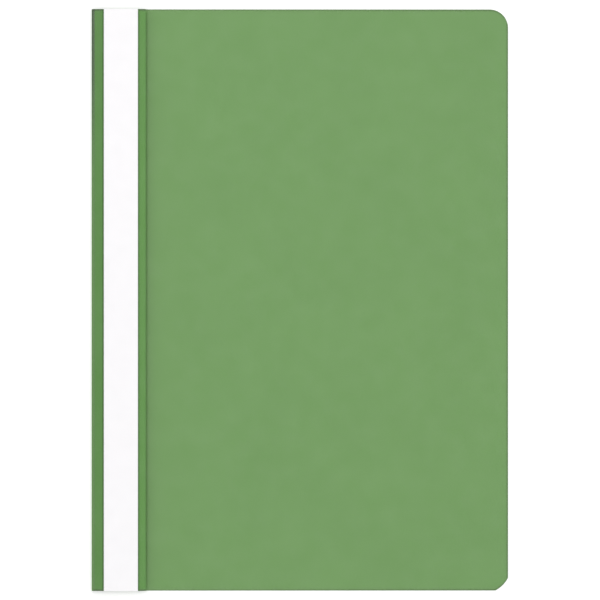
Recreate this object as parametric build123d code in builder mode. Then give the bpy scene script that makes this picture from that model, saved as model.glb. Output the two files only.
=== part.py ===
from build123d import *
import math
import os

# A4 clear-front report file with a two-prong paper fastener, closed and lying on its back.
# Millimetres. The origin is on the supporting surface, under the middle of the file.
# +X runs from the spine to the free edge, +Y up the spine and +Z up through the covers.

os.makedirs("parts", exist_ok=True)

# ---------------------------------------------------------------- driving dimensions

# Sheets
file_width = 222.0  # spine to free edge
file_height = 310.0  # along the spine
green_sheet = 0.25  # coloured polypropylene: back cover, spine and binding band
clear_sheet = 0.20  # transparent polypropylene: front cover and label window
page_gap = 3.65  # room for paper between the back cover and the binding band
band_width = 29.0  # outside of the spine to the crease of the front cover
fold_gap = 0.08  # from a fold's axis to the edge of the sheet on either side of it

# Free corners of both covers
top_corner_radius = 9.8
bottom_corner_cut = 6.8  # length that the bottom corner takes off each edge
bottom_corner_radius = 15.5  # flatter than a quarter circle, so it ends in slight kinks

# Front cover
edge_lift = 0.30  # gap that the free edge of the front cover keeps above the back cover

# Label pocket
film_setback = 0.80  # from the outside of the spine to the edge of the clear sheet
label_offset = 6.5  # from the outside of the spine to the label
label_width = 18.2
label_sheet = 0.20
label_side_play = 0.25
label_face_play = 0.05
pocket_wall_run = 0.60  # width of each sloping side of the pocket

# Fastener strip with its two prongs
prong_pitch = 80.0
prong_width = 5.5
prong_tip_gap = 8.0  # between the tips of the two folded prongs
steel_sheet = 0.30
strip_width = 8.0
strip_face_play = 0.05
slot_play = 0.35  # round each leg of the strip, in the slots of the band
leg_end_gap = 0.25  # from a prong's axis to the end of the leg that carries it
prong_root_gap = 0.10  # from a prong's axis to its own root

# Compressor bar
bar_sheet = 0.40
bar_half_width = 5.5
bar_overhang = 16.0  # from a prong to the end of the bar
bar_face_play = 0.05
rib_side_play = 0.95  # between a folded prong and the wall of the rib that it lies in
prong_face_play = 0.10
hole_side_play = 0.55
hole_inner_reach = 5.2  # inward of the prong's axis, so that the prong can swing through
hole_outer_reach = 1.2
stop_length = 1.0  # ears at both ends that keep the locks on the bar
ear_corner_radius = 0.6

# Sliding locks
lock_sheet = 0.35
lock_length = 9.0
lock_play = 0.075  # above and below the bar's side flanges
lock_side_play = 0.10
hook_root_gap = 0.30  # from the tip of a hook to the bar's rib
lock_stop_gap = 0.50  # from a parked lock to the ears of the bar
grip_height = 0.20
grip_width = 0.80
grip_pitch = 2.0
grip_margin = 1.6  # from the end of a grip rib to the side of the lock

# ---------------------------------------------------------------- places that follow

free_edge_x = file_width / 2
spine_outer_x = -file_width / 2
spine_inner_x = spine_outer_x + green_sheet
band_inner_z = green_sheet + page_gap
band_outer_z = band_inner_z + green_sheet
film_top_z = band_outer_z + clear_sheet
crease_x = spine_outer_x + band_width
band_edge_x = crease_x - fold_gap

label_left_x = spine_outer_x + label_offset
label_right_x = label_left_x + label_width
fastener_x = (label_left_x + label_right_x) / 2
strip_under_z = band_outer_z + strip_face_play
strip_top_z = strip_under_z + steel_sheet
label_under_z = strip_top_z + label_face_play
window_under_z = label_under_z + label_sheet + label_face_play

prong_y = prong_pitch / 2
prong_length = prong_y - prong_tip_gap / 2
rib_top_z = band_inner_z - bar_face_play
rib_under_z = rib_top_z - bar_sheet
prong_axis_z = rib_under_z - prong_face_play - steel_sheet / 2
prong_under_z = prong_axis_z - steel_sheet / 2
flange_top_z = band_inner_z - 2 * lock_play - lock_sheet
flange_under_z = flange_top_z - bar_sheet
rib_inner_half = prong_width / 2 + rib_side_play
rib_outer_half = rib_inner_half + bar_sheet
bar_half_length = prong_y + bar_overhang

lock_inner_half = bar_half_width + lock_side_play
lock_outer_half = lock_inner_half + lock_sheet
hook_tip_half = rib_outer_half + hook_root_gap
hook_under_z = flange_top_z + lock_play
hook_top_z = hook_under_z + lock_sheet
roof_top_z = min(flange_under_z, prong_under_z) - lock_play
roof_under_z = roof_top_z - lock_sheet
lock_parked_y = bar_half_length - stop_length - lock_stop_gap - lock_length / 2

cover_drop = band_outer_z - green_sheet - edge_lift
cover_reach = free_edge_x - crease_x
cover_slope = math.atan2(cover_drop, cover_reach)


def save(piece, label):
    """Labels a finished piece and writes its STEP file."""
    piece.part.label = label
    export_step(piece.part, f"parts/{label}.step")


def cover_outline(left, right):
    """Draws the outline of a cover: square at the spine, both free corners eased."""
    top = file_height / 2
    bottom = -top
    with BuildLine() as outline:
        Line((left, bottom), (right - bottom_corner_cut, bottom))
        RadiusArc(
            (right - bottom_corner_cut, bottom),
            (right, bottom + bottom_corner_cut),
            -bottom_corner_radius,
        )
        Line((right, bottom + bottom_corner_cut), (right, top - top_corner_radius))
        RadiusArc((right, top - top_corner_radius), (right - top_corner_radius, top), -top_corner_radius)
        Line((right - top_corner_radius, top), (left, top))
        Line((left, top), (left, bottom))
    return outline.line


# ---------------------------------------------------------------- green sheet, in three panels

# Back cover: the panel that lies on the table.
with BuildPart() as back_cover:
    with BuildSketch():
        add(cover_outline(spine_inner_x + fold_gap, free_edge_x))
        make_face()
    extrude(amount=green_sheet)
save(back_cover, "back_cover")

# Spine: the narrow wall between the two fold lines.
with BuildPart() as spine_wall:
    with BuildSketch(Plane.XZ):
        with Locations((spine_outer_x, green_sheet + fold_gap)):
            Rectangle(green_sheet, page_gap - 2 * fold_gap, align=(Align.MIN, Align.MIN))
    extrude(amount=file_height / 2, both=True)
save(spine_wall, "spine_wall")

# Binding band: the folded-over panel, slotted for the legs of the fastener strip.
with BuildPart() as binding_band:
    with BuildSketch(Plane.XY.offset(band_inner_z)):
        with Locations((spine_inner_x + fold_gap, 0)):
            Rectangle(
                band_edge_x - spine_inner_x - fold_gap,
                file_height,
                align=(Align.MIN, Align.CENTER),
            )
        with Locations((fastener_x, prong_y), (fastener_x, -prong_y)):
            Rectangle(
                prong_width + 2 * slot_play,
                steel_sheet + 2 * slot_play,
                mode=Mode.SUBTRACT,
            )
    extrude(amount=green_sheet)
save(binding_band, "binding_band")

# ---------------------------------------------------------------- clear sheet, in four panels

# Label window: raised over the label, between the two sloping sides of its pocket.
pocket_left_x = label_left_x - label_side_play
pocket_right_x = label_right_x + label_side_play
pocket_rise = window_under_z - band_outer_z
wall_slope = math.atan2(pocket_rise, pocket_wall_run)
wall_offset = clear_sheet * math.tan(wall_slope / 2)  # keeps the slopes as thick as the sheet
window_top_z = window_under_z + clear_sheet

with BuildPart() as label_window:
    with BuildSketch(Plane.XZ):
        with BuildLine():
            Polyline(
                (pocket_left_x, window_under_z),
                (pocket_right_x, window_under_z),
                (pocket_right_x + wall_offset, window_top_z),
                (pocket_left_x - wall_offset, window_top_z),
                close=True,
            )
        make_face()
    extrude(amount=file_height / 2, both=True)
save(label_window, "label_window")


def window_weld(outer_x, pocket_x, side):
    """A weld flange with the slope up to the window; side is -1 to its left, +1 to its right."""
    foot_x = pocket_x + side * pocket_wall_run
    with BuildPart() as weld:
        with BuildSketch(Plane.XZ):
            with BuildLine():
                Polyline(
                    (outer_x, band_outer_z),
                    (foot_x, band_outer_z),
                    (pocket_x, window_under_z),
                    (pocket_x + side * wall_offset, window_top_z),
                    (foot_x + side * wall_offset, film_top_z),
                    (outer_x, film_top_z),
                    close=True,
                )
            make_face()
        extrude(amount=file_height / 2, both=True)
    return weld


save(window_weld(spine_outer_x + film_setback, pocket_left_x, -1), "window_weld_left")
save(window_weld(band_edge_x, pocket_right_x, 1), "window_weld_right")

# Front cover: slopes from the crease beside the band down to its free edge.
cover_plane = Plane(
    origin=(crease_x, 0, band_outer_z),
    x_dir=(math.cos(cover_slope), 0, -math.sin(cover_slope)),
    z_dir=(math.sin(cover_slope), 0, math.cos(cover_slope)),
)
cover_run = (cover_reach - clear_sheet * math.sin(cover_slope)) / math.cos(cover_slope)

with BuildPart() as front_cover:
    with BuildSketch(cover_plane):
        add(cover_outline(fold_gap, cover_run))
        make_face()
    extrude(amount=clear_sheet)
save(front_cover, "front_cover")

# ---------------------------------------------------------------- label

with BuildPart() as label_insert:
    with BuildSketch(Plane.XY.offset(label_under_z)):
        with Locations((fastener_x, 0)):
            Rectangle(label_width, file_height)
    extrude(amount=label_sheet)
save(label_insert, "label_insert")

# ---------------------------------------------------------------- fastener strip and prongs

# The strip lies under the label; its two legs go down through the band and the bar.
with BuildPart() as fastener_strip:
    with BuildSketch(Plane.XY.offset(strip_under_z)):
        with Locations((fastener_x, 0)):
            Rectangle(strip_width, prong_pitch + steel_sheet)
    extrude(amount=steel_sheet)
    leg_end_z = prong_axis_z + leg_end_gap
    with BuildSketch(Plane.XY.offset(leg_end_z)):
        with Locations((fastener_x, prong_y), (fastener_x, -prong_y)):
            Rectangle(prong_width, steel_sheet)
    extrude(amount=strip_top_z - leg_end_z)
save(fastener_strip, "fastener_strip")


def folded_prong(side):
    """One prong, folded flat towards the middle; side is +1 for the upper one, -1 for the lower."""
    root_y = side * (prong_y - prong_root_gap)
    tip_y = side * (prong_y - prong_length)
    tip_centre_y = tip_y + side * prong_width / 2
    with BuildPart() as prong:
        with BuildSketch(Plane.XY.offset(prong_under_z)):
            with Locations((fastener_x, (root_y + tip_centre_y) / 2)):
                Rectangle(prong_width, abs(root_y - tip_centre_y))
            with Locations((fastener_x, tip_centre_y)):
                Circle(prong_width / 2)
        extrude(amount=steel_sheet)
    return prong


save(folded_prong(1), "prong_upper")
save(folded_prong(-1), "prong_lower")

# ---------------------------------------------------------------- compressor bar

# The cross-section through the middle of the fastener, seen along the bar.
section_plane = Plane(origin=(fastener_x, 0, 0), x_dir=(1, 0, 0), z_dir=(0, -1, 0))

# A long pressed bar: a raised rib that takes the folded prongs, with a flange on each side.
with BuildPart() as compressor_bar:
    with BuildSketch(section_plane):
        with BuildLine():
            Polyline(
                (-bar_half_width, flange_under_z),
                (-bar_half_width, flange_top_z),
                (-rib_outer_half, flange_top_z),
                (-rib_outer_half, rib_top_z),
                (rib_outer_half, rib_top_z),
                (rib_outer_half, flange_top_z),
                (bar_half_width, flange_top_z),
                (bar_half_width, flange_under_z),
                (rib_inner_half, flange_under_z),
                (rib_inner_half, rib_under_z),
                (-rib_inner_half, rib_under_z),
                (-rib_inner_half, flange_under_z),
                close=True,
            )
        make_face()
    extrude(amount=bar_half_length, both=True)
    with BuildSketch(Plane.XY.offset(flange_under_z)):
        ear_width = lock_outer_half - rib_inner_half
        ear_x = (lock_outer_half + rib_inner_half) / 2
        ear_y = bar_half_length - stop_length / 2
        for side_x in (-ear_x, ear_x):
            with Locations((fastener_x + side_x, ear_y), (fastener_x + side_x, -ear_y)):
                Rectangle(ear_width, stop_length)
    extrude(amount=bar_sheet)
    with BuildSketch(Plane.XY.offset(rib_under_z)):
        hole_y = prong_y + (hole_outer_reach - hole_inner_reach) / 2
        with Locations((fastener_x, hole_y), (fastener_x, -hole_y)):
            Rectangle(
                prong_width + 2 * hole_side_play,
                hole_inner_reach + hole_outer_reach,
            )
    extrude(amount=bar_sheet, mode=Mode.SUBTRACT)
    end_corners = compressor_bar.edges().filter_by(Axis.Z).filter_by(
        lambda edge: abs(abs(edge.center().Y) - bar_half_length) < stop_length / 2
        and abs(abs(edge.center().X - fastener_x) - lock_outer_half) < lock_side_play
    )
    fillet(end_corners, radius=ear_corner_radius)
save(compressor_bar, "compressor_bar")


# ---------------------------------------------------------------- sliding locks

def parked_lock(side):
    """A folded clip that hooks round both flanges; side is +1 for the upper one, -1 for the lower."""
    middle_y = side * lock_parked_y
    with BuildPart() as lock:
        with BuildSketch(section_plane.offset(-middle_y)):
            with BuildLine():
                Polyline(
                    (-lock_outer_half, roof_under_z),
                    (-lock_outer_half, hook_top_z),
                    (-hook_tip_half, hook_top_z),
                    (-hook_tip_half, hook_under_z),
                    (-lock_inner_half, hook_under_z),
                    (-lock_inner_half, roof_top_z),
                    (lock_inner_half, roof_top_z),
                    (lock_inner_half, hook_under_z),
                    (hook_tip_half, hook_under_z),
                    (hook_tip_half, hook_top_z),
                    (lock_outer_half, hook_top_z),
                    (lock_outer_half, roof_under_z),
                    close=True,
                )
            make_face()
        extrude(amount=lock_length / 2, both=True)
        with BuildSketch(Plane.XY.offset(roof_under_z)):
            with Locations((fastener_x, middle_y)):
                with GridLocations(0, grip_pitch, 1, 3):
                    Rectangle(2 * (lock_outer_half - grip_margin), grip_width)
        extrude(amount=-grip_height)
    return lock


save(parked_lock(1), "lock_slide_upper")
save(parked_lock(-1), "lock_slide_lower")
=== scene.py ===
# %% [markdown]
# # An A4 report file with a clear front
# The file is two plastic sheets. A green one is folded over at the spine, and a clear one is
# welded to the folded-over band. A white card slides behind the clear sheet, and a steel fastener
# with two bending prongs hides under the card. This lesson builds every sheet as a surface that
# numpy works out from a few sizes, and gives it a finish from shader nodes.

# %% Load the frame
import math

import bpy
import numpy as np
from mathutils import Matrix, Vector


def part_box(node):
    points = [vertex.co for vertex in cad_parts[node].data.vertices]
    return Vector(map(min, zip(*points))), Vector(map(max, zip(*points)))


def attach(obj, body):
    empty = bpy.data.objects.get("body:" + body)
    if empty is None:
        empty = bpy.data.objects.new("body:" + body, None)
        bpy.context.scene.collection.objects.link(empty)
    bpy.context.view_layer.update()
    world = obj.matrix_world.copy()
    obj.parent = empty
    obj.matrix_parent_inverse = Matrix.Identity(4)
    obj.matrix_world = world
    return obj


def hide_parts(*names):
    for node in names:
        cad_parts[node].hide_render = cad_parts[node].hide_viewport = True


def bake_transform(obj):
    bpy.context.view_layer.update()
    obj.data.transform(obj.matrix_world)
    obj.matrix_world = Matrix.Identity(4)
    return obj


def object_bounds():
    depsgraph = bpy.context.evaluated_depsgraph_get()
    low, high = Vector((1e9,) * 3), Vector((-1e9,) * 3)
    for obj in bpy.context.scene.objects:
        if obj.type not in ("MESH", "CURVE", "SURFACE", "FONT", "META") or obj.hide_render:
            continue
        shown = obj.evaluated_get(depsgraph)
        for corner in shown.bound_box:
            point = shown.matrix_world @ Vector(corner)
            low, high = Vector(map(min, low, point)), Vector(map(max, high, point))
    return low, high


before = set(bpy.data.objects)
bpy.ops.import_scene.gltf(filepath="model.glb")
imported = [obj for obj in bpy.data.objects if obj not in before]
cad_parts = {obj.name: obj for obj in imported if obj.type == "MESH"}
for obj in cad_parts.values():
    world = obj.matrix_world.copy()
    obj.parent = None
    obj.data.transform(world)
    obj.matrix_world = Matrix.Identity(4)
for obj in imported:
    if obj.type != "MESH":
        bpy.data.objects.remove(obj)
cad_low, cad_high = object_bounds()
print("file, in metres:", tuple(cad_high - cad_low))

# %% [markdown]
# ## Sizes
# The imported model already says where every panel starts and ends. Reading its boxes keeps the
# looks and the mechanics in one place. The few sizes below are those that the boxes can't tell:
# how round a fold is, how deep a weld line is pressed, and how the front cover sags.

# %% Sizes read from the frame
MM = 0.001
back_low, back_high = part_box("back_cover")
band_low, band_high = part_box("binding_band")
window_low, window_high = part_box("label_window")
weld_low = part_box("window_weld_left")[0]
cover_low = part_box("front_cover")[0]

green_sheet = back_high.z - back_low.z
clear_sheet = window_high.z - window_low.z
spine_x = cad_low.x
free_x = cad_high.x
bottom_y = cad_low.y
top_y = cad_high.y
crease_x = (band_high.x + cover_low.x) / 2
pocket_left_x = window_low.x
pocket_right_x = window_high.x
print("green sheet:", round(green_sheet / MM, 3), "mm thick")
print("clear sheet:", round(clear_sheet / MM, 3), "mm thick")

# %% Sizes of the folds, corners and press lines
fold_radius = 0.8 * MM  # outside of each fold of the green sheet
top_corner_radius = 9.8 * MM
bottom_corner_cut = 6.8 * MM
bottom_corner_radius = 15.5 * MM
crease_width = 1.4 * MM  # pressed line along which the cover folds
press_depth = 0.06 * MM
edge_highlight_reach = 1.3 * MM  # how far in from its cut edge the painted edge highlight reaches
rim_insets = np.array([0.0, 0.2, 0.45, 0.9, 1.6]) * MM

# %% [markdown]
# ## Sheets from a grid of points
# Every piece here is a sheet: plastic, card or pressed steel. So one helper makes them all. It
# takes the middle surface as a grid of points, pushes it half the thickness to each side along
# its normals, and closes the rim with a narrow wall. A mask can leave cells out, which punches
# holes and slots with proper walls round them. Building closed solids by hand this way keeps the
# faces even and pointing outwards, which a boolean cut wouldn't promise.


# %% Faces of a sheet
sharp_angle = math.radians(40)  # a bend sharper than this keeps a crisp edge


def unit(vectors):
    """Each vector divided by its own length."""
    return vectors / np.linalg.norm(vectors, axis=-1, keepdims=True)


def sheet_faces(keep):
    """Quads of a closed sheet on a grid of cells: upper side, lower side, and a wall wherever a
    kept cell meets a missing one. Points are numbered row by row, all upper ones first."""
    rows, columns = keep.shape[0] + 1, keep.shape[1] + 1
    number = np.arange(rows * columns).reshape(rows, columns)
    a, b = number[:-1, :-1], number[1:, :-1]
    c, d = number[1:, 1:], number[:-1, 1:]
    below = rows * columns
    padded = np.pad(keep, 1)
    middle = padded[1:-1, 1:-1]
    quads = [
        np.stack([a, b, c, d], -1)[keep],
        np.stack([d, c, b, a], -1)[keep] + below,
    ]
    walls = [
        (padded[:-2, 1:-1], a, d),
        (padded[2:, 1:-1], c, b),
        (padded[1:-1, :-2], b, a),
        (padded[1:-1, 2:], d, c),
    ]
    for neighbour, first, second in walls:
        open_side = middle & ~neighbour
        wall = np.stack([first, second, second + below, first + below], -1)
        quads.append(wall[open_side])
    return np.concatenate(quads)


def make_mesh(name, points, faces):
    """A smooth-shaded mesh object from point and face arrays, without the points no face uses."""
    used, faces = np.unique(faces, return_inverse=True)
    faces = faces.reshape(-1, 4)
    mesh = bpy.data.meshes.new(name)
    mesh.from_pydata(points[used].tolist(), [], faces.tolist())
    mesh.shade_smooth()
    mesh.set_sharp_from_angle(angle=sharp_angle)
    piece = bpy.data.objects.new(name, mesh)
    bpy.context.scene.collection.objects.link(piece)
    return piece, used


# %% Thin sheet helper
def thin_sheet(name, middle, thickness, keep=None, **masks):
    """A closed sheet round a grid of middle points: each point plus and minus half the thickness
    times the normal, which is the cross product of the two ways along the grid. Each mask is a
    grid of numbers, one for every point, which a material reads as an attribute of that name."""
    along_rows = np.gradient(middle, axis=0)
    along_columns = np.gradient(middle, axis=1)
    normal = unit(np.cross(along_rows, along_columns))
    upper = middle + normal * thickness / 2
    lower = middle - normal * thickness / 2
    points = np.concatenate([upper.reshape(-1, 3), lower.reshape(-1, 3)])
    if keep is None:
        keep = np.ones((middle.shape[0] - 1, middle.shape[1] - 1), bool)
    piece, used = make_mesh(name, points, sheet_faces(keep))
    for mask_name, mask in masks.items():
        both_sides = np.concatenate([mask.ravel(), mask.ravel()])[used]
        attribute = piece.data.attributes.new(mask_name, "FLOAT", "POINT")
        attribute.data.foreach_set("value", both_sides.astype(np.float32))
    print(name, len(piece.data.vertices), "points", len(piece.data.polygons), "faces")
    return piece


# %% [markdown]
# ## Paths with rounded bends
# Pressed steel and folded plastic are straight runs joined by small bends. A path helper rounds
# the corners of a short list of points with true arcs, so a cross-section needs only the points
# that a drawing of it would show. Carrying the path sideways gives the grid for the sheet.


# %% Path helpers
def rounded_path(corners, radius, steps=6):
    """Points along the corners' polyline, in two dimensions, with every inner corner replaced by
    an arc. The arc starts the radius times the tangent of half the turn before the corner, and
    its centre lies the radius over the cosine of half the turn inside it."""
    corners = np.array(corners, float)
    path = [corners[:1]]
    for before, here, after in zip(corners[:-2], corners[1:-1], corners[2:]):
        way_in, way_out = unit(here - before), unit(after - here)
        turn = math.acos(np.clip(way_in @ way_out, -1, 1))
        reach = radius * math.tan(turn / 2)
        inward = unit(way_out - way_in)
        centre = here + inward * radius / math.cos(turn / 2)
        start = here - way_in * reach - centre
        sweep = np.linspace(0, turn, steps + 1)[:, None]
        side = unit(way_in)[None, :]
        path.append(centre + start * np.cos(sweep) + side * radius * np.sin(sweep))
    path.append(corners[-1:])
    return np.concatenate(path)


def refine(path, spacing):
    """The same path with extra points, so that no step is longer than the spacing."""
    pieces = []
    for here, after in zip(path[:-1], path[1:]):
        count = max(1, math.ceil(np.linalg.norm(after - here) / spacing))
        pieces.append(here + (after - here) * np.linspace(0, 1, count, endpoint=False)[:, None])
    return np.concatenate(pieces + [path[-1:]])


def with_lines(stations, *extra):
    """Stations in rising order with some more grid lines among them. Rounding to a tenth of a
    micrometre makes lines that nearly meet one line."""
    lines = [np.atleast_1d(line) for line in extra]
    return np.unique(np.round(np.concatenate([stations, *lines]), 7))


def carry_along_y(path_xz, stations_y):
    """Grid of points: each point of a cross-section in X and Z, repeated at every Y station."""
    grid = np.empty((len(path_xz), len(stations_y), 3))
    grid[..., 0] = path_xz[:, None, 0]
    grid[..., 1] = np.asarray(stations_y)[None, :]
    grid[..., 2] = path_xz[:, None, 1]
    return grid


# %% [markdown]
# ## Finishes that several materials share
# Plastic sheet comes off a grained roller, so its surface is a field of very fine bumps with
# softer, larger unevenness in gloss where it was handled. Both are noise at two scales, and more
# than one material needs them, so they are a node group with named inputs. The group gives out
# only a height and two masks. The shader itself stays in each material.


# %% Shared node group
def add_socket(group, name, direction, default=0.0):
    """Adds a named number socket to a node group."""
    socket = group.interface.new_socket(name=name, in_out=direction, socket_type="NodeSocketFloat")
    socket.default_value = default


def noise(nodes, links, vector, scale, detail):
    """A noise texture on the given vector."""
    node = nodes.new("ShaderNodeTexNoise")
    node.inputs["Scale"].default_value = scale
    node.inputs["Detail"].default_value = detail
    links.new(vector, node.inputs["Vector"])
    return node


def ramp(nodes, links, value, low, high, out_low, out_high):
    """Maps a value from one range to another, held at both ends."""
    node = nodes.new("ShaderNodeMapRange")
    node.inputs["From Min"].default_value = low
    node.inputs["From Max"].default_value = high
    node.inputs["To Min"].default_value = out_low
    node.inputs["To Max"].default_value = out_high
    links.new(value, node.inputs["Value"])
    return node.outputs["Result"]


def sheet_surface_group():
    """Node group for rolled plastic, from noise at three scales. Height is the roller's grain.
    Handling and Cloud are noise stretched to run from 0 to 1, to use as masks."""
    group = bpy.data.node_groups.new("rolled_sheet_surface", "ShaderNodeTree")
    add_socket(group, "Grain Scale", "INPUT", 2600.0)
    add_socket(group, "Cloud Scale", "INPUT", 28.0)
    for output in ("Height", "Handling", "Cloud"):
        add_socket(group, output, "OUTPUT")
    nodes, links = group.nodes, group.links
    inputs = nodes.new("NodeGroupInput")
    outputs = nodes.new("NodeGroupOutput")
    place = nodes.new("ShaderNodeTexCoord").outputs["Object"]
    grain = noise(nodes, links, place, 2600.0, 3.0)
    cloud = noise(nodes, links, place, 28.0, 2.0)
    handling = noise(nodes, links, place, 90.0, 4.0)
    links.new(inputs.outputs["Grain Scale"], grain.inputs["Scale"])
    links.new(inputs.outputs["Cloud Scale"], cloud.inputs["Scale"])
    handled = ramp(nodes, links, handling.outputs["Fac"], 0.35, 0.7, 0.0, 1.0)
    clouded = ramp(nodes, links, cloud.outputs["Fac"], 0.3, 0.7, 0.0, 1.0)
    links.new(grain.outputs["Fac"], outputs.inputs["Height"])
    links.new(handled, outputs.inputs["Handling"])
    links.new(clouded, outputs.inputs["Cloud"])
    return group


rolled_sheet = sheet_surface_group()
print("node group:", rolled_sheet.name, "with", len(rolled_sheet.nodes), "nodes")


# %% Material helpers
def new_material(name):
    """A node material with an empty tree, its Principled shader and its output."""
    material = bpy.data.materials.new(name)
    material.use_nodes = True
    nodes, links = material.node_tree.nodes, material.node_tree.links
    nodes.clear()
    shader = nodes.new("ShaderNodeBsdfPrincipled")
    output = nodes.new("ShaderNodeOutputMaterial")
    links.new(shader.outputs["BSDF"], output.inputs["Surface"])
    print("finish:", name)
    return material, nodes, links, shader


def mix_colours(nodes, links, factor, first, second):
    """A colour that goes from the first to the second with the factor."""
    mix = nodes.new("ShaderNodeMix")
    mix.data_type = "RGBA"
    for socket, colour in ((mix.inputs[6], first), (mix.inputs[7], second)):
        if isinstance(colour, tuple):
            socket.default_value = (*colour, 1.0)
        else:
            links.new(colour, socket)
    links.new(factor, mix.inputs[0])
    return mix.outputs[2]


def bump(nodes, links, height, distance, shader, strength):
    """Raises the shader's surface by a height of 0 to 1 times a distance in metres."""
    node = nodes.new("ShaderNodeBump")
    node.inputs["Strength"].default_value = strength
    node.inputs["Distance"].default_value = distance
    links.new(height, node.inputs["Height"])
    links.new(node.outputs["Normal"], shader.inputs["Normal"])


def mesh_mask(nodes, name):
    """A mask that the mesh carries at its points, from 0 to 1. A mesh without it gives 0."""
    attribute = nodes.new("ShaderNodeAttribute")
    attribute.attribute_name = name
    return attribute.outputs["Fac"]


def rolled_surface(nodes, grain_scale, cloud_scale):
    """The shared group, placed in a material with its own scales."""
    node = nodes.new("ShaderNodeGroup")
    node.node_tree = rolled_sheet
    node.inputs["Grain Scale"].default_value = grain_scale
    node.inputs["Cloud Scale"].default_value = cloud_scale
    return node


# %% [markdown]
# ## Green polypropylene
# The back is dyed through, so a fold or a cut edge is the same green. A grained roller leaves it
# satin rather than glossy. The colour drifts very slightly in soft clouds, and the gloss changes
# where hands have polished it. Two masks that the mesh carries paint shade into the green: one
# darkens the band beside the fold and at the crease, and the other darkens the rounded folds.


# %% Green polypropylene material
# Painted shade: the first green darkens the band beside the fold and at the crease, the second the
# folds.
band_shade_green = (0.040, 0.145, 0.014)
fold_shade_green = (0.052, 0.092, 0.038)


def green_polypropylene(name, dark, light):
    """Satin dyed sheet: two close greens mixed by soft clouds, over a fine roller grain. The band
    shade mask mixes in a painted shade green, then the line shade mask a duller painted shade."""
    material, nodes, links, shader = new_material(name)
    surface = rolled_surface(nodes, 2600.0, 26.0)
    green = mix_colours(nodes, links, surface.outputs["Cloud"], dark, light)
    # Painted shade: two masks darken the green beside the fold, at the crease and on the folds.
    deepened = mix_colours(nodes, links, mesh_mask(nodes, "deep"), green, band_shade_green)
    with_fold_shade = mix_colours(nodes, links, mesh_mask(nodes, "press"), deepened, fold_shade_green)
    satin = ramp(nodes, links, surface.outputs["Handling"], 0, 1, 0.52, 0.42)
    links.new(with_fold_shade, shader.inputs["Base Color"])
    links.new(satin, shader.inputs["Roughness"])
    shader.inputs["Specular IOR Level"].default_value = 0.35
    bump(nodes, links, surface.outputs["Height"], 0.012 * MM, shader, 0.6)
    return material


green_finish = green_polypropylene(
    "green_sheet_finish", dark=(0.117, 0.275, 0.061), light=(0.124, 0.286, 0.066)
)
green_band_finish = green_polypropylene(
    "green_band_finish", dark=(0.091, 0.250, 0.044), light=(0.097, 0.260, 0.048)
)

# %% [markdown]
# ## Clear polypropylene
# A clear cover isn't glass. It passes nearly all light but scatters a little, so what lies a few
# millimetres below it looks paler. Where it is welded to the green sheet there is no air gap, and
# the haze all but goes. Alpha carries the haze. It rises with the fifth power of the slant, as
# the reflection of a glossy film does: a Fresnel node would also answer to the inside of the
# sheet, and turn it milky. Two masks on the mesh add painted light to it: a painted highlight
# greys the cut edge, and painted shade darkens lines along the pocket's edges and the crease.


# %% Clear polypropylene material
film_colour = (0.84, 0.86, 0.82)
# Painted shade: nearly black, for the dark lines along the pocket's edges and at the crease.
pressed_colour = (0.0, 0.03, 0.0)
# Painted highlight: the grey veil that lightens the clear sheet along its cut edges.
edge_highlight_colour = (0.080, 0.110, 0.060)
slant_power = 5.0
slant_veil = 0.45  # alpha of the film seen along its surface
press_veil = 0.20  # what a painted shade line adds to the alpha
edge_highlight_veil = 0.37  # what the painted edge highlight adds to the alpha


def scaled_sum(nodes, links, mask, amount, rest):
    """The mask times an amount, plus the rest."""
    node = nodes.new("ShaderNodeMath")
    node.operation = "MULTIPLY_ADD"
    links.new(mask, node.inputs[0])
    node.inputs[1].default_value = amount
    links.new(rest, node.inputs[2])
    return node.outputs["Value"]


def clear_polypropylene(name, haze):
    """Clear film. Its alpha is the haze, rising to the slant veil with the fifth power of the
    slant, plus the painted line shade and painted edge highlight masks times what each adds. A mask
    changes the colour fully before it has changed much of the alpha, so its faint end isn't milky."""
    material, nodes, links, shader = new_material(name)
    surface = rolled_surface(nodes, 1700.0, 40.0)
    # Painted light: one mask paints dark shade lines, the other a grey highlight at the cut edges.
    press, rim = mesh_mask(nodes, "press"), mesh_mask(nodes, "rim")
    pressed = ramp(nodes, links, press, 0.0, 0.15, 0.0, 1.0)
    cut = ramp(nodes, links, rim, 0.0, 0.15, 0.0, 1.0)
    colour = mix_colours(nodes, links, pressed, film_colour, pressed_colour)
    colour = mix_colours(nodes, links, cut, colour, edge_highlight_colour)
    links.new(colour, shader.inputs["Base Color"])
    slant = nodes.new("ShaderNodeMath")
    slant.operation = "POWER"
    links.new(nodes.new("ShaderNodeLayerWeight").outputs["Facing"], slant.inputs[0])
    slant.inputs[1].default_value = slant_power
    veil = ramp(nodes, links, slant.outputs["Value"], 0.0, 1.0, haze, slant_veil)
    veil = scaled_sum(nodes, links, press, press_veil, veil)
    veil = scaled_sum(nodes, links, rim, edge_highlight_veil, veil)
    links.new(veil, shader.inputs["Alpha"])
    gloss = ramp(nodes, links, surface.outputs["Handling"], 0, 1, 0.20, 0.32)
    links.new(gloss, shader.inputs["Roughness"])
    bump(nodes, links, surface.outputs["Height"], 0.006 * MM, shader, 0.5)
    return material


clear_cover_finish = clear_polypropylene("clear_cover_finish", haze=0.018)
clear_weld_finish = clear_polypropylene("clear_weld_finish", haze=0.004)

# %% [markdown]
# ## Label card
# The label is smooth white board. Paper is never one flat white: its fibres clump as they
# settle. So a coarse noise gives a faint mottle in the colour, and a fine one gives the tooth of
# the surface.


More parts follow.
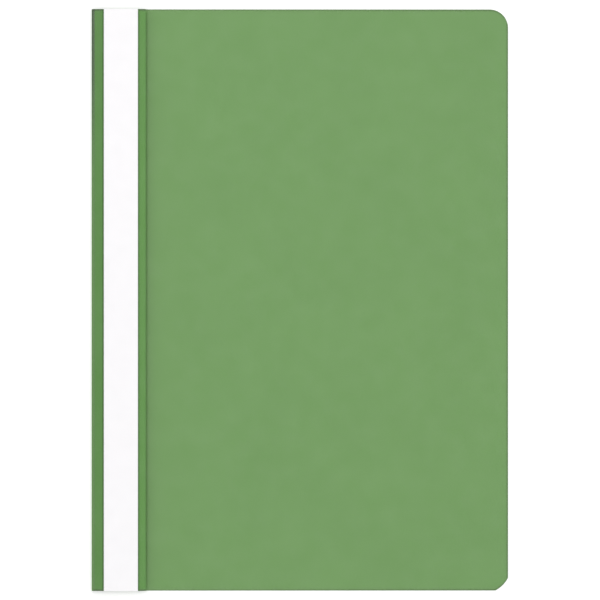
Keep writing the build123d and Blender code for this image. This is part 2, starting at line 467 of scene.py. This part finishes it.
# %% Label card material
def label_card_finish():
    """White board: two whites mixed by coarse noise, fine noise for the bump and the matt."""
    material, nodes, links, shader = new_material("label_card_finish")
    place = nodes.new("ShaderNodeTexCoord").outputs["Object"]
    fibres = noise(nodes, links, place, 1400.0, 6.0)
    pulp = noise(nodes, links, place, 160.0, 3.0)
    mottle = ramp(nodes, links, pulp.outputs["Fac"], 0.3, 0.7, 0.0, 1.0)
    white = mix_colours(nodes, links, mottle, (0.903, 0.890, 0.907), (0.923, 0.910, 0.927))
    matt = ramp(nodes, links, fibres.outputs["Fac"], 0.3, 0.7, 0.75, 0.9)
    links.new(white, shader.inputs["Base Color"])
    links.new(matt, shader.inputs["Roughness"])
    bump(nodes, links, fibres.outputs["Fac"], 0.01 * MM, shader, 0.5)
    return material


card_finish = label_card_finish()

# %% [markdown]
# ## Tinned steel
# The fastener is cut from bright tinned strip. Rolling leaves fine lines along the strip, and
# sliding the locks scuffs it. A noise squeezed in one direction makes the lines.


# %% Tinned steel material
def tinned_steel_finish():
    """Bright strip steel: a noise stretched along Y for the rolling lines, and a mask of finer
    noise that dulls and roughens the scuffs."""
    material, nodes, links, shader = new_material("tinned_steel_finish")
    place = nodes.new("ShaderNodeTexCoord").outputs["Object"]
    stretch = nodes.new("ShaderNodeMapping")
    stretch.inputs["Scale"].default_value = (3200.0, 60.0, 3200.0)
    links.new(place, stretch.inputs["Vector"])
    lines = noise(nodes, links, stretch.outputs["Vector"], 1.0, 3.0)
    scuffs = noise(nodes, links, place, 220.0, 5.0)
    scuffed = ramp(nodes, links, scuffs.outputs["Fac"], 0.4, 0.65, 0.0, 1.0)
    grey = mix_colours(nodes, links, scuffed, (0.70, 0.71, 0.72), (0.58, 0.59, 0.60))
    sheen = ramp(nodes, links, scuffed, 0, 1, 0.24, 0.40)
    links.new(grey, shader.inputs["Base Color"])
    links.new(sheen, shader.inputs["Roughness"])
    shader.inputs["Metallic"].default_value = 1.0
    bump(nodes, links, lines.outputs["Fac"], 0.004 * MM, shader, 0.5)
    return material


steel_finish = tinned_steel_finish()


# %% Placing a finished piece
def place_piece(piece, body, finish, replaced=()):
    """Gives a piece its finish, the body that it rides on and the nodes that it stands for."""
    piece.data.materials.clear()
    piece.data.materials.append(finish)
    if body:
        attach(piece, body)
    if replaced:
        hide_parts(*replaced)


# %% [markdown]
# ## Covers
# Both covers are cut with the same knife: square at the spine, a true quarter circle at the upper
# free corner and a flatter arc at the lower one, which meets its edges in slight kinks. So the
# outline is a formula: for every X it gives the lowest and highest Y. Grid lines crowd together
# near the cut edges and inside the corner arcs, where the shape turns fastest.


# %% Outline of the covers
def outline_low(x):
    """Lowest Y of a cover at each X: the bottom edge, then the flatter corner arc. The arc's
    centre lies on the corner's diagonal: half the cut in from each edge, and then the distance
    from centre to chord, over the root of two."""
    half_chord = bottom_corner_cut / math.sqrt(2)
    centre_to_chord = math.sqrt(bottom_corner_radius**2 - half_chord**2)
    centre_inset = bottom_corner_cut / 2 + centre_to_chord / math.sqrt(2)
    past = np.clip(x - (free_x - centre_inset), 0, None)
    arc = bottom_y + centre_inset - np.sqrt(np.clip(bottom_corner_radius**2 - past**2, 0, None))
    return np.where(x > free_x - bottom_corner_cut, arc, bottom_y)


def outline_high(x):
    """Highest Y of a cover at each X: the top edge, then the quarter circle, by Pythagoras."""
    past = np.clip(x - (free_x - top_corner_radius), 0, None)
    return top_y - top_corner_radius + np.sqrt(np.clip(top_corner_radius**2 - past**2, 0, None))


def cover_columns(start_x, spacing):
    """X stations of a cover: even over the panel, crowded round the corner arcs and the rim."""
    panel = np.arange(start_x, free_x - top_corner_radius, spacing)
    corner_angle = np.linspace(0, math.pi / 2, 28)
    corner = free_x - top_corner_radius + top_corner_radius * np.sin(corner_angle)
    knife = np.array([free_x - bottom_corner_cut])
    return with_lines(panel, corner, knife, free_x - rim_insets)


def smooth_step(value, start, end):
    """Goes from 0 at the start to 1 at the end, flat at both ends: 3 t squared less 2 t cubed."""
    part = np.clip((value - start) / (end - start), 0, 1)
    return part * part * (3 - 2 * part)


def edge_highlight_mask(from_edge):
    """Painted edge highlight: 1 at a sheet's cut edge, down to 0 at its reach, by the power of 1.5.
    """
    return np.clip(1 - from_edge / edge_highlight_reach, 0, 1) ** 1.5


def cover_grid(start_x, height, x_spacing=4 * MM, y_count=78):
    """Middle points of a cover and its painted edge highlight mask. Each X station runs from the
    lowest to the highest Y in shares, and height is a function of X and Y that gives Z."""
    x = cover_columns(start_x, x_spacing)
    low, high = outline_low(x), outline_high(x)
    inner = np.linspace(0, 1, y_count)
    last = rim_insets[-1]
    span = (high - low - 2 * last)[:, None]
    y = np.concatenate([
        low[:, None] + rim_insets[None, :-1],
        low[:, None] + last + span * inner[None, :],
        high[:, None] - rim_insets[None, :-1][:, ::-1],
    ], axis=1)
    x_grid = np.repeat(x[:, None], y.shape[1], axis=1)
    z = height(x_grid, y)
    from_ends = np.minimum(y - low[:, None], high[:, None] - y)
    from_edge = np.minimum(from_ends, free_x - x_grid)
    return np.stack([x_grid, y, z], axis=-1), edge_highlight_mask(from_edge)


# %% [markdown]
# ## Green sheet: back, spine and band
# On the real file these are one sheet with two pressed fold lines. Each panel rides on its own
# body, and a quarter-round strip joins two panels. The strips are short, which keeps the bend as
# crisp as a real fold.

# %% Back panel
fold_middle = fold_radius - green_sheet / 2
fold_run = 0.3 * MM  # straight run of a fold strip before and after its bend
back_start_x = spine_x + fold_radius + fold_run
back_middle_z = back_low.z + green_sheet / 2
back_points = cover_grid(back_start_x, lambda x, y: np.full_like(x, back_middle_z))[0]
back_panel = thin_sheet("green_back_panel", back_points, green_sheet)
place_piece(back_panel, "back", green_finish, ["back_cover"])

# %% Spine panel
spine_middle_x = spine_x + green_sheet / 2
spine_top_z = band_high.z - fold_radius  # height of the upper fold's centre
spine_bottom_z = back_low.z + fold_radius  # height of the lower fold's centre
sheet_stations = np.linspace(bottom_y, top_y, 63)
spine_ends = (spine_bottom_z + fold_run, spine_top_z - fold_run)
spine_path = np.array([[spine_middle_x, z] for z in spine_ends])
spine_points = carry_along_y(refine(spine_path, MM), sheet_stations)
spine_panel = thin_sheet("green_spine_panel", spine_points, green_sheet)
place_piece(spine_panel, "spine", green_finish, ["spine_wall"])

# %% Fold strips
fold_quarter = np.linspace(0, math.pi / 2, 13)


def fold_shade(y):
    """Strength of the painted shade on the rounded fold along the spine: 0.3 below, rising
    smoothly to 1 at its upper end."""
    return 0.3 + 0.7 * smooth_step(y, 0.060, 0.135)


def fold_strip(name, centre_z, first_angle, shade_strength):
    """A quarter-round strip of the green sheet, with a short straight run along its tangent at
    each end, between the two panels that it joins."""
    angle = first_angle - fold_quarter
    centre = (spine_x + fold_radius, centre_z)
    round_part = fold_middle * np.stack([np.cos(angle), np.sin(angle)], -1) + centre
    first_way, last_way = ((math.sin(a), -math.cos(a)) for a in (angle[0], angle[-1]))
    before = round_part[:1] - fold_run * np.array(first_way)
    after = round_part[-1:] + fold_run * np.array(last_way)
    points = carry_along_y(np.concatenate([before, round_part, after]), sheet_stations)
    # Painted shade: the rounded fold is darkened, more towards its upper end.
    strip = thin_sheet(name, points, green_sheet, press=shade_strength * fold_shade(points[..., 1]))
    place_piece(strip, None, green_finish)
    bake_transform(strip)


fold_strip("green_lower_fold", spine_bottom_z, -math.pi / 2, shade_strength=0.3)
fold_strip("green_upper_fold", spine_top_z, math.pi, shade_strength=1.0)

# %% [markdown]
# ## Binding band with its two slots
# The band is the panel that carries everything else. The fastener's legs pass through it, so it
# has two narrow slots. They come from the mask of the sheet helper: grid lines are laid along
# the edges of each slot, and the one cell between them is left out.

# %% Binding band
strip_low, strip_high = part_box("fastener_strip")
prong_low, prong_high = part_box("prong_upper")
steel_sheet = prong_high.z - prong_low.z
prong_half = (prong_high.x - prong_low.x) / 2
fastener_x = (prong_low.x + prong_high.x) / 2
leg_y = strip_high.y - steel_sheet / 2
slot_play = 0.35 * MM  # all round each leg
band_middle_z = band_high.z - green_sheet / 2
band_start_x = spine_x + fold_radius + fold_run
slot_x = prong_half + slot_play
slot_y = steel_sheet / 2 + slot_play
slot_lines_y = np.array([side * leg_y + edge for side in (-1, 1) for edge in (-slot_y, slot_y)])
fold_shade_reach = MM  # how far the fold's painted shade goes on over the band
band_x = with_lines(
    np.linspace(band_start_x, band_high.x, 30),
    band_start_x + np.linspace(0, fold_shade_reach, 5),
    [fastener_x - slot_x, fastener_x + slot_x],
    crease_x - np.linspace(0.3, 1.0, 5) * MM,
)
band_y = with_lines(sheet_stations, slot_lines_y)
middle_x = (band_x[:-1] + band_x[1:])[:, None] / 2
middle_y = (band_y[:-1] + band_y[1:])[None, :] / 2
in_slot = (abs(middle_x - fastener_x) < slot_x) & (abs(abs(middle_y) - leg_y) < slot_y)
band_path = np.stack([band_x, np.full_like(band_x, band_middle_z)], -1)
band_points = carry_along_y(band_path, band_y)
# Painted shade: the fold's shade goes on a millimetre over the band.
past_fold = smooth_step(band_points[..., 0] - band_start_x, 0, fold_shade_reach)
band_fold_shade = fold_shade(band_points[..., 1]) * (1 - past_fold)
# Painted shade: the band's strip beside the fold and its edge at the crease are darkened.
beside_fold = band_points[..., 0] < pocket_left_x
beside_crease = smooth_step(band_points[..., 0], crease_x - 0.9 * MM, crease_x - 0.4 * MM)
band_deep = 0.38 * beside_fold + 0.25 * beside_crease
band_panel = thin_sheet(
    "green_binding_band", band_points, green_sheet, keep=~in_slot, press=band_fold_shade, deep=band_deep
)
place_piece(band_panel, "band", green_band_finish, ["binding_band"])

# %% [markdown]
# ## Clear sheet over the band
# Seen from its end, the clear sheet lies welded to the band, rises over the label and comes down
# again. That is one curve: a flat run, a smooth step up, a flat run and a smooth step down. A
# hair-thin line of painted shade runs along each edge of the pocket. The curve carried along Y is
# the whole piece.

# %% Profile of the clear sheet over the band
weld_gap = 0.02 * MM  # keeps the two faces of a weld from lying in one plane
weld_z = weld_low.z + weld_gap + clear_sheet / 2
window_z = window_low.z + clear_sheet / 2
slope_run = 0.6 * MM


def press_line(value, middle, width):
    """A smooth pressed line: 1 less the squared share of half its width, to the power of 1.5, so
    that it is 1 along its middle and 0 at half its width and beyond."""
    return np.clip(1 - (2 * (value - middle) / width) ** 2, 0, 1) ** 1.5


def band_film_height(x):
    """Height of the clear sheet's middle at each X: the weld's height, plus the pocket's rise
    times a smooth step up less a smooth step down."""
    rise = smooth_step(x, pocket_left_x - slope_run, pocket_left_x)
    fall = smooth_step(x, pocket_right_x, pocket_right_x + slope_run)
    return weld_z + (window_z - weld_z) * (rise - fall)


film_left_x = weld_low.x
crease_start_x = crease_x - crease_width / 2
film_x = with_lines(
    np.linspace(film_left_x, crease_start_x, 60),
    np.linspace(pocket_left_x - slope_run, pocket_left_x, 9),
    np.linspace(pocket_right_x, pocket_right_x + slope_run, 9),
    film_left_x + rim_insets,
)
film_path = np.stack([film_x, band_film_height(film_x)], -1)
film_y = with_lines(sheet_stations, bottom_y + rim_insets, top_y - rim_insets)
film_points = carry_along_y(film_path, film_y)
across = film_points[..., 0]
over_label = (across > pocket_left_x) & (across < pocket_right_x)
# Painted highlight along the sheet's cut edges, left out over the label.
film_edge_highlight = edge_highlight_mask(top_y - abs(film_points[..., 1])) * ~over_label
film_edge_highlight = np.maximum(film_edge_highlight, 0.1 * edge_highlight_mask(across - film_left_x))
# Painted shade: dark lines along both edges of the label pocket.
left_edge_shade = 0.7 * press_line(across, pocket_left_x, 1.2 * MM)
right_edge_shade = 0.6 * press_line(across, pocket_right_x, 1.1 * MM)
film_press = left_edge_shade + right_edge_shade
band_film = thin_sheet("clear_band_film", film_points, clear_sheet, rim=film_edge_highlight, press=film_press)
film_nodes = ["label_window", "window_weld_left", "window_weld_right"]
place_piece(band_film, "band", clear_weld_finish, film_nodes)

# %% [markdown]
# ## Front cover and its crease
# The cover hinges on a pressed crease of the same clear sheet. A loose cover doesn't stay flat:
# it leaves the crease level, sags towards the back and comes to rest just above it at its free
# edge, with a faint wave from being rolled. The crease is a strip of its own, between the band
# and the cover.

# %% Front cover
cover_free_z = cover_low.z + clear_sheet / 2
cover_root_x = crease_x + crease_width / 2
wave_height = 0.05 * MM


def cover_height(x, y):
    """Middle of the cover: down from the crease with the power of 1.5 of what is left of the way,
    plus a faint wave, a product of sines that dies out towards the crease and the free edge."""
    part = np.clip((x - crease_x) / (free_x - crease_x), 0, 1)
    sag = cover_free_z + (weld_z - cover_free_z) * (1 - part) ** 1.5
    wave = np.sin(2.6 * math.pi * part + 9 * y) * np.sin(14 * y + 1.1) * np.sin(math.pi * part) ** 2
    return sag + wave_height * wave


# Painted highlight along the cover's cut edges, weaker than on the band.
cover_edge_highlight_strength = 0.6
cover_points, cover_edge_highlight = cover_grid(cover_root_x, cover_height)
cover_edge_highlight *= cover_edge_highlight_strength
clear_cover = thin_sheet("clear_front_cover", cover_points, clear_sheet, rim=cover_edge_highlight)
place_piece(clear_cover, "cover", clear_cover_finish, ["front_cover"])

# %% Crease of the front cover
crease_x_stations = np.linspace(crease_start_x, cover_root_x, 17)
crease_points = carry_along_y(np.stack([crease_x_stations, crease_x_stations * 0], -1), film_y)
crease_across, crease_along = crease_points[..., 0], crease_points[..., 1]
groove = press_line(crease_across, crease_x - 0.15 * crease_width, 0.7 * crease_width)
crease_points[..., 2] = cover_height(crease_across, crease_along) - press_depth * groove
# Painted highlight along the crease's cut ends.
crease_edge_highlight = edge_highlight_mask(top_y - abs(crease_along))
# Painted shade: a faint dark line along the crease, whose groove is real geometry.
crease_press = 0.06 * groove
crease_strip = thin_sheet(
    "clear_crease", crease_points, clear_sheet, rim=crease_edge_highlight, press=crease_press
)
place_piece(crease_strip, None, clear_weld_finish)
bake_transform(crease_strip)

# %% [markdown]
# ## Label card
# The card is a plain flat rectangle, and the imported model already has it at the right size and
# place. So its own node stays, and only gets the card finish.

# %% Label card
label_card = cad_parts["label_insert"]
label_card.data.materials.clear()
label_card.data.materials.append(card_finish)
print("label card:", len(label_card.data.polygons), "faces")

# %% [markdown]
# ## Steel fastener
# All the steel is strip, cut and bent. The strip under the label turns down through the band at
# both ends, and each end goes on as a prong, folded towards the middle. The strip rides on the
# band, and the prongs ride on no body.


# %% Steel helpers
def break_edges(piece):
    """Breaks the sharp sheared edges of a steel piece with a narrow two-step bevel."""
    bevel = piece.modifiers.new("sheared_edges", "BEVEL")
    bevel.width = 0.04 * MM
    bevel.segments = 2
    bevel.limit_method = "ANGLE"
    bevel.angle_limit = math.radians(50)


def carry_across(path_yz, half_widths, centre_x, count=7):
    """Grid of points: each point of a side view in Y and Z, repeated from one side of the strip to
    the other. The half width may change along the path."""
    across = np.linspace(-1, 1, count)
    grid = np.empty((len(path_yz), count, 3))
    grid[..., 0] = centre_x + np.asarray(half_widths)[:, None] * across[None, :]
    grid[..., 1] = path_yz[:, None, 0]
    grid[..., 2] = path_yz[:, None, 1]
    return grid


# %% Fastener strip
strip_half = (strip_high.x - strip_low.x) / 2
strip_z = strip_high.z - steel_sheet / 2
leg_split_z = band_low.z
strip_corners = [(-leg_y, leg_split_z), (-leg_y, strip_z), (leg_y, strip_z), (leg_y, leg_split_z)]
strip_path = refine(rounded_path(strip_corners, 0.3 * MM), 1.0 * MM)
neck = smooth_step(abs(strip_path[:, 0]), leg_y - 3.5 * MM, leg_y - 1.5 * MM)
strip_widths = strip_half + (prong_half - strip_half) * neck
strip_points = carry_across(strip_path, strip_widths, fastener_x)
fastener_strip = thin_sheet("fastener_strip_steel", strip_points, steel_sheet)
break_edges(fastener_strip)
place_piece(fastener_strip, "band", steel_finish, ["fastener_strip"])

# %% Prongs
prong_z = (prong_low.z + prong_high.z) / 2
prong_tip_y = prong_low.y
bend_radius = 0.25 * MM
tip_turn = np.linspace(0, 0.94 * math.pi / 2, 10)  # ends just short of a point


def prong(side, name, node):
    """A leg, a bend and a long prong. Its tip is round: the way along goes with the sine of an
    angle and the half width with its cosine. The side is +1 for the upper prong, -1 for the
    lower."""
    corners = [(leg_y, leg_split_z), (leg_y, prong_z), (prong_tip_y + prong_half, prong_z)]
    shank = refine(rounded_path(corners, bend_radius), 1.5 * MM)
    tip_y = shank[-1, 0] - prong_half * np.sin(tip_turn)
    tip = np.stack([tip_y, np.full_like(tip_turn, prong_z)], -1)
    path = np.concatenate([shank, tip[1:]])
    widths = np.concatenate([np.full(len(shank), prong_half), prong_half * np.cos(tip_turn[1:])])
    path[:, 0] *= side
    piece = thin_sheet(name, carry_across(path, widths, fastener_x), steel_sheet)
    break_edges(piece)
    place_piece(piece, None, steel_finish, [node])
    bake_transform(piece)


prong(1, "prong_upper_steel", "prong_upper")
prong(-1, "prong_lower_steel", "prong_lower")

# %% [markdown]
# ## Compressor bar
# The bar is a pressed hat section: a rib that takes the folded prongs, with a flange on each
# side. Its oblong holes let the prongs through. A grid can only leave out whole cells, so the
# grid lines beside a hole are bent to its outline: they follow its rounded corners, and the mask
# takes out what lies between them. Small ears at both ends keep the locks on the bar.

# %% Compressor bar
bar_low, bar_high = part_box("compressor_bar")
bar_sheet = 0.40 * MM
bar_half = 5.5 * MM
bar_bend = 0.21 * MM  # middle radius of its pressed bends
ear_half = (bar_high.x - bar_low.x) / 2
ear_length = 1.0 * MM
rib_side_play = 0.95 * MM
rib_half = prong_half + rib_side_play + bar_sheet / 2
rib_z = bar_high.z - bar_sheet / 2
flange_z = bar_low.z + bar_sheet / 2
hole_side_play = 0.55 * MM
hole_half = prong_half + hole_side_play
hole_inner_y = leg_y - 5.2 * MM
hole_outer_y = leg_y + 1.2 * MM
hole_corner = 1.0 * MM


def hole_edge(y):
    """Half width of the line that bounds a hole, at each Y: the hole's half width along its
    length, round quarter circles at its corners, and the corner's inner width beyond."""
    reach = np.minimum(abs(y) - hole_inner_y, hole_outer_y - abs(y))
    into_corner = np.clip(1 - reach / hole_corner, 0, 1)
    return hole_half - hole_corner * (1 - np.sqrt(1 - into_corner**2))


# %% Grid of the bar
corner_sweep = hole_corner * (1 - np.cos(np.linspace(0, math.pi / 2, 7)))
hole_lines = np.concatenate([hole_inner_y + corner_sweep, hole_outer_y - corner_sweep])
bar_y = with_lines(
    np.linspace(bar_low.y, bar_high.y, 75),
    hole_lines,
    -hole_lines,
    [bar_low.y + ear_length, bar_high.y - ear_length],
)
flange_and_web = rounded_path(
    [(-bar_half, flange_z), (-rib_half, flange_z), (-rib_half, rib_z), (0, rib_z)], bar_bend, 5
)[:-1]
rib_shares = np.array([1.0, 0.5, 0.0, -0.5, -1.0])
side_x = flange_and_web[:, 0]
grid_x = np.concatenate([
    np.repeat(side_x[:, None], len(bar_y), 1),
    -rib_shares[:, None] * hole_edge(bar_y)[None, :],
    np.repeat(-side_x[::-1][:, None], len(bar_y), 1),
])
side_z = flange_and_web[:, 1]
grid_z = np.concatenate([side_z, np.full(5, rib_z), side_z[::-1]])
bar_points = np.empty((*grid_x.shape, 3))
bar_points[..., 0] = fastener_x + grid_x
bar_points[..., 1] = bar_y[None, :]
bar_points[..., 2] = grid_z[:, None]
in_ear = abs(bar_y) > bar_high.y - ear_length - 0.01 * MM
for row, edge_sign in ((0, -1), (-1, 1)):
    bar_points[row, in_ear, 0] = fastener_x + edge_sign * ear_half
bar_keep = np.ones((bar_points.shape[0] - 1, len(bar_y) - 1), bool)
cell_y = abs((bar_y[:-1] + bar_y[1:]) / 2)
hole_rows = slice(len(side_x), len(side_x) + 4)
bar_keep[hole_rows, (cell_y > hole_inner_y) & (cell_y < hole_outer_y)] = False
compressor = thin_sheet("compressor_bar_steel", bar_points, bar_sheet, keep=bar_keep)
break_edges(compressor)
place_piece(compressor, "bar", steel_finish, ["compressor_bar"])

# %% [markdown]
# ## Sliding locks
# Each lock is a short strip bent round both flanges of the bar, like a flat letter C, with three
# ribs pressed out for a fingertip. A pressed rib moves the whole sheet outwards, so it is a bump
# in the middle surface, and the helper gives it an even thickness.

# %% Sliding locks
lock_sheet = 0.35 * MM
grip_height = 0.20 * MM
grip_width = 0.80 * MM
grip_pitch = 2.0 * MM
grip_margin = 1.6 * MM
hook_reach = 0.30 * MM
lock_bend = 0.3 * MM


def sliding_lock(name, body, node):
    """A C-shaped clip. Three pressed lines across its flat face, which fade out smoothly at the
    rib ends, move the sheet outwards by the height of a grip."""
    low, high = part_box(node)
    middle_y = (low.y + high.y) / 2
    side_half = (high.x - low.x) / 2 - lock_sheet / 2
    hook_half = rib_half + bar_sheet / 2 + hook_reach
    hook_z = high.z - lock_sheet / 2
    face_z = low.z + grip_height + lock_sheet / 2
    corners = [
        (-hook_half, hook_z),
        (-side_half, hook_z),
        (-side_half, face_z),
        (side_half, face_z),
        (side_half, hook_z),
        (hook_half, hook_z),
    ]
    path = refine(rounded_path(corners, lock_bend), 0.5 * MM)
    path[:, 0] += fastener_x
    points = carry_along_y(path, np.linspace(low.y, high.y, 73))
    on_face = points[..., 2] < face_z + 0.01 * MM
    rib_end = side_half - grip_margin
    from_middle = abs(points[..., 0] - fastener_x)
    rib_fade = smooth_step(from_middle, rib_end + 0.3 * MM, rib_end - 0.3 * MM)
    along = points[..., 1] - middle_y
    ribs = sum(press_line(along, rib_y, grip_width * 1.6) for rib_y in (-grip_pitch, 0, grip_pitch))
    points[..., 2] -= grip_height * on_face * rib_fade * ribs
    piece = thin_sheet(name, points, lock_sheet)
    break_edges(piece)
    place_piece(piece, body, steel_finish, [node])


sliding_lock("lock_upper_steel", "upper_lock", "lock_slide_upper")
sliding_lock("lock_lower_steel", "lower_lock", "lock_slide_lower")

# %% [markdown]
# ## Floor, light and camera
# The file lies on a white table under a white sky. A large lamp overhead does most of the work,
# and the sky and two weaker lamps fill in from the sides, so no shadow is hard. The table glows
# a little, which lifts the shadow where the file touches it. The camera looks straight down
# through a long lens, which keeps the edges of the file all but parallel.

# %% Floor
floor_size = 6.0
floor_sheet = 2 * MM
floor_drop = 0.05 * MM
floor_middle_z = cad_low.z - floor_drop - floor_sheet / 2
floor_line = np.linspace(-floor_size / 2, floor_size / 2, 9)
floor_x, floor_y = np.meshgrid(floor_line, floor_line, indexing="ij")
floor_points = np.stack([floor_x, floor_y, np.full_like(floor_x, floor_middle_z)], -1)
floor_material, *_, floor_shader = new_material("white_table")
floor_shader.inputs["Base Color"].default_value = (0.92, 0.92, 0.92, 1)
floor_shader.inputs["Roughness"].default_value = 0.9
floor_shader.inputs["Specular IOR Level"].default_value = 0.1
floor_shader.inputs["Emission Color"].default_value = (1, 1, 1, 1)
floor_shader.inputs["Emission Strength"].default_value = 0.2
floor = thin_sheet("white_table", floor_points, floor_sheet)
floor.data.materials.append(floor_material)

# %% Light
world = bpy.data.worlds.new("white_sky")
world.use_nodes = True
world.node_tree.nodes["Background"].inputs["Color"].default_value = (1, 1, 1, 1)
world.node_tree.nodes["Background"].inputs["Strength"].default_value = 0.53
bpy.context.scene.world = world


def soft_lamp(name, place, size, power):
    """A square area lamp that faces the middle of the file: tilted by the angle between its
    place and straight up, and turned by the compass angle of its place."""
    lamp = bpy.data.lights.new(name, "AREA")
    lamp.size = size
    lamp.energy = power
    holder = bpy.data.objects.new(name, lamp)
    x, y, z = place
    holder.location = place
    holder.rotation_euler = (math.atan2(math.hypot(x, y), z), 0, math.atan2(x, -y))
    bpy.context.scene.collection.objects.link(holder)
    print(name, power, "W")


soft_lamp("lamp_overhead", (0.0, 0.1, 3.0), size=2.5, power=43.0)
soft_lamp("lamp_above_top", (0.2, 1.3, 1.2), size=1.2, power=5.4)
soft_lamp("lamp_left", (-1.4, -0.2, 1.1), size=1.0, power=2.2)

# %% Camera and view
camera_height = 2.0
camera = bpy.data.cameras.new("camera")
camera.lens = 224.8
camera.sensor_width = 36.0
camera.clip_start = 0.01
camera_holder = bpy.data.objects.new("camera", camera)
camera_holder.location = (0, 0, camera_height)
bpy.context.scene.collection.objects.link(camera_holder)
bpy.context.scene.camera = camera_holder
bpy.context.scene.view_settings.view_transform = "Standard"

# %% [markdown]
# ## Finish

# %% Finish
bpy.context.view_layer.update()
